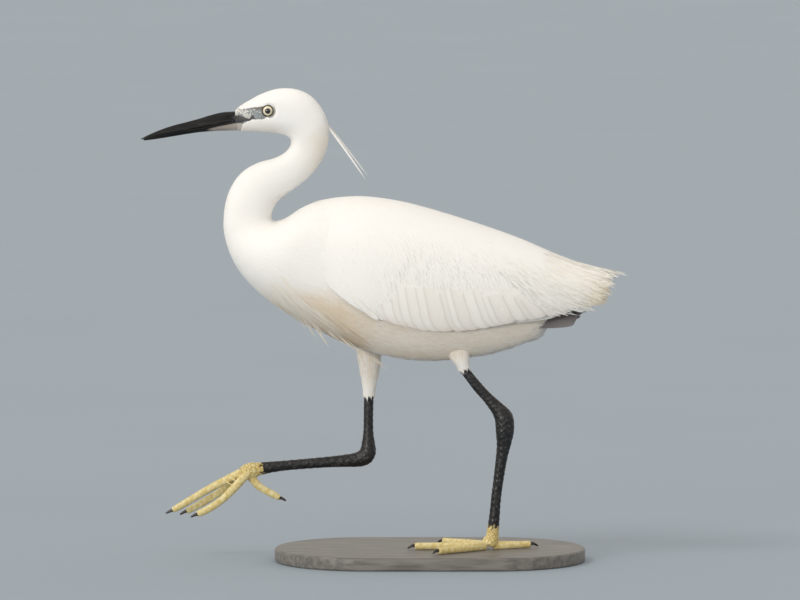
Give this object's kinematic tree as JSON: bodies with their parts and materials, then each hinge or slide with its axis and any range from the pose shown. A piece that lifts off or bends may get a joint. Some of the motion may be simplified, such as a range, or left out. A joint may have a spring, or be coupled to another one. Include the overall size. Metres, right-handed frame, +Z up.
{
  "type": "little egret model",
  "caption": "Life-size still model of a little egret in breeding plumage, on one leg with the other foot held out, on a flat oval base.",
  "frame": {"origin": "middle of the underside of the flat base", "axes": "+Z up, -X the way the bird faces, +Y to the bird's right side"},
  "size_m": [0.4373, 0.17, 0.4269],
  "materials": {
    "white_plumage": "white body and flight feathers, soft and matt",
    "head_plumage": "short white feathers of the head",
    "black_bill": "black horn with a low shine, greyer at the root of the lower half",
    "eye": "pale yellow iris round a black pupil, clear and wet",
    "black_leg": "black scaled skin",
    "yellow_foot": "yellow to green scaled skin",
    "base_board": "plain painted board, satin"
  },
  "bodies": {
    "root": {"head": "head_plumage", "bill_upper": "black_bill", "bill_lower": "black_bill", "eye_left": "eye", "eye_right": "eye", "neck_upper": "white_plumage", "neck_middle": "white_plumage", "neck_lower": "white_plumage", "torso": "white_plumage", "wing_left": "white_plumage", "wing_right": "white_plumage", "tail": "white_plumage", "thigh_left": "white_plumage", "thigh_right": "white_plumage", "shin_left": "black_leg", "shin_right": "black_leg", "tarsus_left": "black_leg", "tarsus_right": "black_leg", "foot_left": "yellow_foot", "foot_right": "yellow_foot", "stand_base": "base_board", "toe_left_inner": "yellow_foot", "claw_left_inner": "black_bill", "toe_left_middle": "yellow_foot", "claw_left_middle": "black_bill", "toe_left_outer": "yellow_foot", "claw_left_outer": "black_bill", "toe_left_hind": "yellow_foot", "claw_left_hind": "black_bill", "toe_right_inner": "yellow_foot", "claw_right_inner": "black_bill", "toe_right_middle": "yellow_foot", "claw_right_middle": "black_bill", "toe_right_outer": "yellow_foot", "claw_right_outer": "black_bill", "toe_right_hind": "yellow_foot", "claw_right_hind": "black_bill"}
  },
  "joints": []
}
